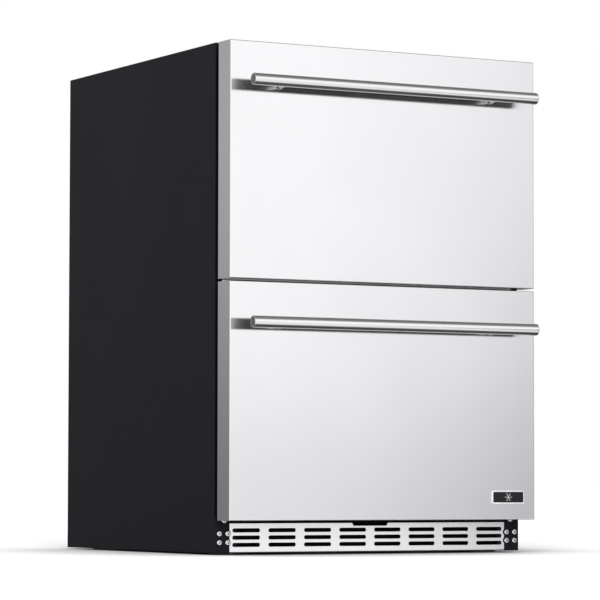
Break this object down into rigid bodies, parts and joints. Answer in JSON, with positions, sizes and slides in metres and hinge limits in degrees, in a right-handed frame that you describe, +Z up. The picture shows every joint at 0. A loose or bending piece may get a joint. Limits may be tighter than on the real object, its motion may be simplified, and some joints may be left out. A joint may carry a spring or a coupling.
{
  "type": "under-counter drawer refrigerator",
  "caption": "Under-counter refrigerator with stacked pull-out drawers, stainless fronts, round bar handles, black steel case and a slotted toe grille.",
  "frame": {"origin": "on the floor, in the middle of the width and of the overall depth, handles included", "axes": "+Z up, -Y out of the drawer fronts, +X to the right seen from the front"},
  "size_m": [0.595, 0.6784, 0.851],
  "materials": {
    "stainless_brushed": "vertical brushed grain, bright",
    "stainless_satin": "satin, fine horizontal grain",
    "handle_steel": "polished along the bar",
    "case_black": "satin powder coat",
    "galvanised_steel": "dull zinc coat with fine spangle",
    "zinc_steel": "bright zinc plate",
    "frame_steel": "grey powder coat",
    "liner_grey": "satin thermoformed sheet",
    "frame_black": "satin moulding",
    "foam": "rigid closed-cell foam",
    "gasket_black": "soft vinyl",
    "bin_smoke": "smooth grey moulding",
    "badge_silver": "bright rim round a dark field",
    "foot_plastic": "moulded pad on a steel stem",
    "compressor_black": "semi-gloss black enamel",
    "black_plastic": "fine textured moulding",
    "motor_steel": "plated steel can",
    "coil_aluminium": "bare fins",
    "copper": "drawn copper, lightly tarnished",
    "drain_plastic": "flexible hose",
    "cord_black": "smooth vinyl jacket",
    "display_glass": "dark tinted window",
    "button_plastic": "smooth caps",
    "light_lens": "frosted diffuser"
  },
  "bodies": {
    "cabinet": {"outer_case": "case_black", "back_panel": "galvanised_steel", "inner_liner": "liner_grey", "insulation_foam": "foam", "face_frame": "frame_black", "mullion_trim": "stainless_brushed", "base_tray": "galvanised_steel", "corner_brackets": "case_black", "bracket_screws": "zinc_steel", "toe_grille": "stainless_satin", "compressor": "compressor_black", "compressor_relay_cover": "black_plastic", "condenser": "coil_aluminium", "condenser_fan_shroud": "black_plastic", "condenser_fan_motor": "motor_steel", "evaporator": "coil_aluminium", "evaporator_fan_motor": "motor_steel", "evaporator_cover": "liner_grey", "drain_tube": "drain_plastic", "drip_pan": "black_plastic", "filter_drier": "copper", "refrigerant_lines": "copper", "control_housing": "black_plastic", "display_window": "display_glass", "light_bar": "light_lens", "slide_outer_members": "zinc_steel", "power_cord": "cord_black", "rear_cover": "galvanised_steel"},
    "upper_drawer": {"upper_front_skin": "stainless_brushed", "upper_front_liner": "liner_grey", "upper_front_foam": "foam", "upper_gasket": "gasket_black", "upper_handle_bar": "handle_steel", "upper_handle_posts": "handle_steel", "upper_handle_screws": "zinc_steel", "upper_bin_frame": "frame_steel", "upper_bin": "bin_smoke", "upper_slide_inners": "zinc_steel"},
    "lower_drawer": {"lower_front_skin": "stainless_brushed", "lower_front_liner": "liner_grey", "lower_front_foam": "foam", "lower_gasket": "gasket_black", "lower_handle_bar": "handle_steel", "lower_handle_posts": "handle_steel", "lower_handle_screws": "zinc_steel", "lower_bin_frame": "frame_steel", "lower_bin": "bin_smoke", "lower_slide_inners": "zinc_steel", "badge_plate": "badge_silver"},
    "upper_slide_middle": {"upper_slide_middles": "zinc_steel"},
    "lower_slide_middle": {"lower_slide_middles": "zinc_steel"},
    "condenser_fan": {"condenser_fan_blade": "black_plastic"},
    "evaporator_fan": {"evaporator_fan_blade": "black_plastic"},
    "button_power": {"button_power": "button_plastic"},
    "button_warmer": {"button_warmer": "button_plastic"},
    "button_cooler": {"button_cooler": "button_plastic"},
    "foot_front_left": {"foot_front_left": "foot_plastic"},
    "foot_front_right": {"foot_front_right": "foot_plastic"},
    "foot_rear_left": {"foot_rear_left": "foot_plastic"},
    "foot_rear_right": {"foot_rear_right": "foot_plastic"}
  },
  "joints": [
    {"name": "upper_drawer_slide", "type": "slide", "parent": "cabinet", "child": "upper_drawer", "axis": [0, -1, 0], "range_m": [0, 0.43]},
    {"name": "upper_middle_slide", "type": "slide", "parent": "cabinet", "child": "upper_slide_middle", "axis": [0, -1, 0], "range_m": [0, 0.215]},
    {"name": "lower_drawer_slide", "type": "slide", "parent": "cabinet", "child": "lower_drawer", "axis": [0, -1, 0], "range_m": [0, 0.43]},
    {"name": "lower_middle_slide", "type": "slide", "parent": "cabinet", "child": "lower_slide_middle", "axis": [0, -1, 0], "range_m": [0, 0.215]},
    {"name": "condenser_fan_spin", "type": "hinge", "parent": "cabinet", "child": "condenser_fan", "pos_m": [0.171, 0.237, 0.108], "axis": [0, 1, 0], "continuous": true},
    {"name": "evaporator_fan_spin", "type": "hinge", "parent": "cabinet", "child": "evaporator_fan", "pos_m": [0, 0.2535, 0.64], "axis": [0, 1, 0], "continuous": true},
    {"name": "button_power_press", "type": "slide", "parent": "cabinet", "child": "button_power", "axis": [0, 1, 0], "range_m": [0, 0.001]},
    {"name": "button_warmer_press", "type": "slide", "parent": "cabinet", "child": "button_warmer", "axis": [0, 1, 0], "range_m": [0, 0.001]},
    {"name": "button_cooler_press", "type": "slide", "parent": "cabinet", "child": "button_cooler", "axis": [0, 1, 0], "range_m": [0, 0.001]},
    {"name": "foot_front_left_level", "type": "slide", "parent": "cabinet", "child": "foot_front_left", "axis": [0, 0, -1], "range_m": [0, 0.025]},
    {"name": "foot_front_right_level", "type": "slide", "parent": "cabinet", "child": "foot_front_right", "axis": [0, 0, -1], "range_m": [0, 0.025]},
    {"name": "foot_rear_left_level", "type": "slide", "parent": "cabinet", "child": "foot_rear_left", "axis": [0, 0, -1], "range_m": [0, 0.025]},
    {"name": "foot_rear_right_level", "type": "slide", "parent": "cabinet", "child": "foot_rear_right", "axis": [0, 0, -1], "range_m": [0, 0.025]}
  ],
  "couplings": [
    {"joint": "upper_middle_slide", "follows": "upper_drawer_slide", "ratio": 0.5},
    {"joint": "lower_middle_slide", "follows": "lower_drawer_slide", "ratio": 0.5}
  ]
}
